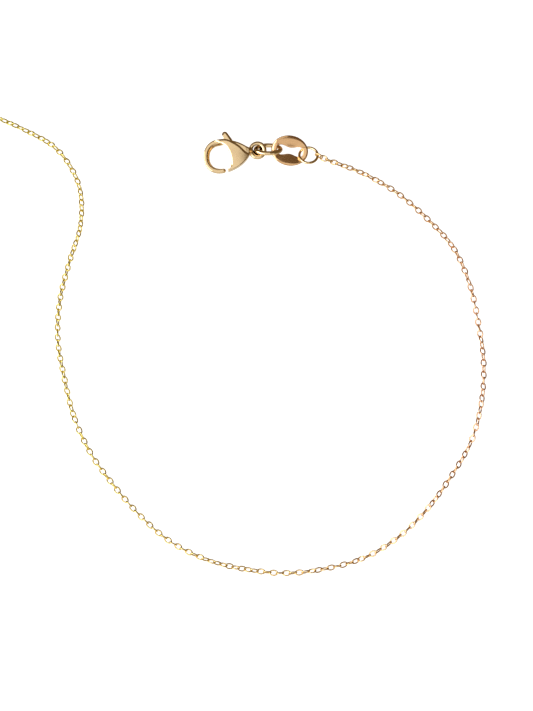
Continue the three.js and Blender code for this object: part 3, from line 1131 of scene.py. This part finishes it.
    def dress(self) -> None:
        """Add the chain to the scene."""
        link = self.link()
        bm = bmesh.new()
        places = self.places()
        for place in places:
            before = len(bm.verts)
            bm.from_mesh(link)
            bm.verts.ensure_lookup_table()
            bmesh.ops.transform(bm, matrix=place, verts=bm.verts[before:])
        bpy.data.meshes.remove(link)
        log.info("chain: %d links", len(places))
        add_piece(bm, "cable_chain", Body.BRACELET, CHAIN_GOLD.material(),
                  ["chain", "end_link_near", "end_link_far"])


# ---- Studio ----------------------------------------------------------------------------


@dataclass
class Softbox:
    """A soft studio lamp.

    Attributes:
        name: The lamp's name.
        azimuth: The way to it on the floor from the bracelet, in degrees from +X towards +Y.
        height: Its angle above the floor in degrees.
        far: Its distance.
        size: Its width and height.
        radiance: How bright it looks.
    """

    name: str
    azimuth: float
    height: float
    far: float
    size: Point
    radiance: float

    def place(self, aim: Vector) -> None:
        """Add the lamp, turned to a point."""
        light = bpy.data.lights.new(self.name, "AREA")
        light.shape = "RECTANGLE"
        light.size, light.size_y = self.size[0] * MM, self.size[1] * MM
        light.energy = self.radiance * math.pi * light.size * light.size_y
        flat = math.radians(self.azimuth)
        rise = math.radians(self.height)
        way = Vector((math.cos(rise) * math.cos(flat), math.cos(rise) * math.sin(flat), math.sin(rise)))
        obj = bpy.data.objects.new(self.name, light)
        obj.location = (aim + way * self.far) * MM
        obj.rotation_euler = way.to_track_quat("Z", "Y").to_euler()
        obj.visible_camera = False
        bpy.context.scene.collection.objects.link(obj)


@dataclass
class Studio:
    """Pale floor, soft lamps and the camera straight above.

    Attributes:
        lens: The camera's focal length.
        sensor: Its sensor's longer side.
        view_high: What the camera sees from top to bottom at the bracelet.
        view_middle: The middle of the view from the middle of the chain's first ring.
        focus_height: The height above the floor at which the view has that size.
        floor: Half the floor's side.
        floor_colour: The floor's colour.
        floor_glow: How brightly the white table is lit from below.
        room_dark: The room's colour behind and above.
        room_light: Its colour towards the window and the table.
        room_way: The way to its lightest side.
        room_share: Where the room begins to lighten towards that side, and where it is lightest.
    """

    lens: float = 100.0
    sensor: float = 36.0
    view_high: float = 95.985
    view_middle: Point = (-5.67, -27.054)
    focus_height: float = 1.0
    floor: float = 1500.0
    floor_colour: Colour = (0.4, 0.4, 0.4)
    floor_glow: float = 1.0
    room_dark: Colour = (0.155, 0.1, 0.045)
    room_light: Colour = (0.72, 0.66, 0.56)
    room_way: Triple = (-0.25, -0.55, -0.8)
    room_share: Point = (-0.5, 0.9)
    softboxes: tuple[Softbox, ...] = (
        Softbox("key_left", 200, 38, 700, (850, 450), 4.5),
        Softbox("key_front", 275, 42, 700, (700, 440), 0.74),
        Softbox("overhead", 180, 79, 700, (650, 480), 0.85),
    )

    def aim(self) -> Vector:
        """Return the point that the camera looks at."""
        ring = middle("chain_ring")
        return Vector((ring.x + self.view_middle[0], ring.y + self.view_middle[1], self.focus_height))

    def camera(self) -> None:
        """Add the camera, which looks straight down."""
        camera = bpy.data.cameras.new("camera")
        camera.lens, camera.sensor_width = self.lens, self.sensor
        camera.clip_start, camera.clip_end = 10 * MM, 10
        obj = bpy.data.objects.new("camera", camera)
        far = self.view_high * self.lens / self.sensor
        obj.location = (self.aim() + Vector((0, 0, far))) * MM
        bpy.context.scene.collection.objects.link(obj)
        bpy.context.scene.camera = obj

    def ground(self) -> None:
        """Add the floor."""
        shader = Shader("pale_floor")
        shader.main.inputs["Base Color"].default_value = (*self.floor_colour, 1.0)
        shader.main.inputs["Emission Color"].default_value = (1.0, 1.0, 1.0, 1.0)
        shader.main.inputs["Emission Strength"].default_value = self.floor_glow
        shader.main.inputs["Roughness"].default_value = 0.9
        shader.main.inputs["Specular IOR Level"].default_value = 0.0
        bm = bmesh.new()
        bmesh.ops.create_grid(bm, x_segments=1, y_segments=1, size=self.floor * MM)
        floor = working_object(bm, "floor")
        floor.data.materials.append(shader.material)
        floor.visible_glossy = False
        floor.visible_shadow = False

    def room(self) -> bpy.types.World:
        """Return the room's light: dark above and behind, lighter towards the window and the table."""
        world = bpy.data.worlds.new("room")
        world.use_nodes = True
        nodes, links = world.node_tree.nodes, world.node_tree.links
        way = nodes.new("ShaderNodeTexCoord")
        facing_light = nodes.new("ShaderNodeVectorMath")
        facing_light.operation = "DOT_PRODUCT"
        facing_light.inputs[1].default_value = Vector(self.room_way).normalized()
        share = nodes.new("ShaderNodeMapRange")
        share.interpolation_type = "SMOOTHSTEP"
        share.inputs[1].default_value, share.inputs[2].default_value = self.room_share
        colour = nodes.new("ShaderNodeMix")
        colour.data_type = "RGBA"
        colour.inputs[6].default_value = (*self.room_dark, 1.0)
        colour.inputs[7].default_value = (*self.room_light, 1.0)
        links.new(way.outputs["Generated"], facing_light.inputs[0])
        links.new(facing_light.outputs["Value"], share.inputs[0])
        links.new(share.outputs[0], colour.inputs[0])
        links.new(colour.outputs[2], nodes["Background"].inputs["Color"])
        return world

    def build(self) -> None:
        """Set up the whole studio."""
        scene = bpy.context.scene
        scene.view_settings.view_transform = "Standard"
        scene.world = self.room()
        self.camera()
        self.ground()
        for softbox in self.softboxes:
            softbox.place(self.aim())


def main() -> None:
    """Build the studio and the bracelet."""
    logging.basicConfig(level=logging.INFO, format="%(name)s %(message)s")
    Studio().build()
    CableChain().dress()
    ClaspBody().dress()
    TriggerLever().dress()
    Rivet().dress()
    far = middle("end_ring") - middle("end_link_far")
    WireRing("oval_jump_ring", "jump_ring", 3.92, 2.54, 0.58, 51).dress()
    WireRing("first_ring", "chain_ring", 2.84, 2.84, 0.36, 28.5).dress()
    WireRing("last_ring", "end_ring", 2.84, 2.84, 0.36, 28.5, math.degrees(math.atan2(far.y, far.x))).dress()
    EndTag().dress()


if __name__ == "__main__":
    main()
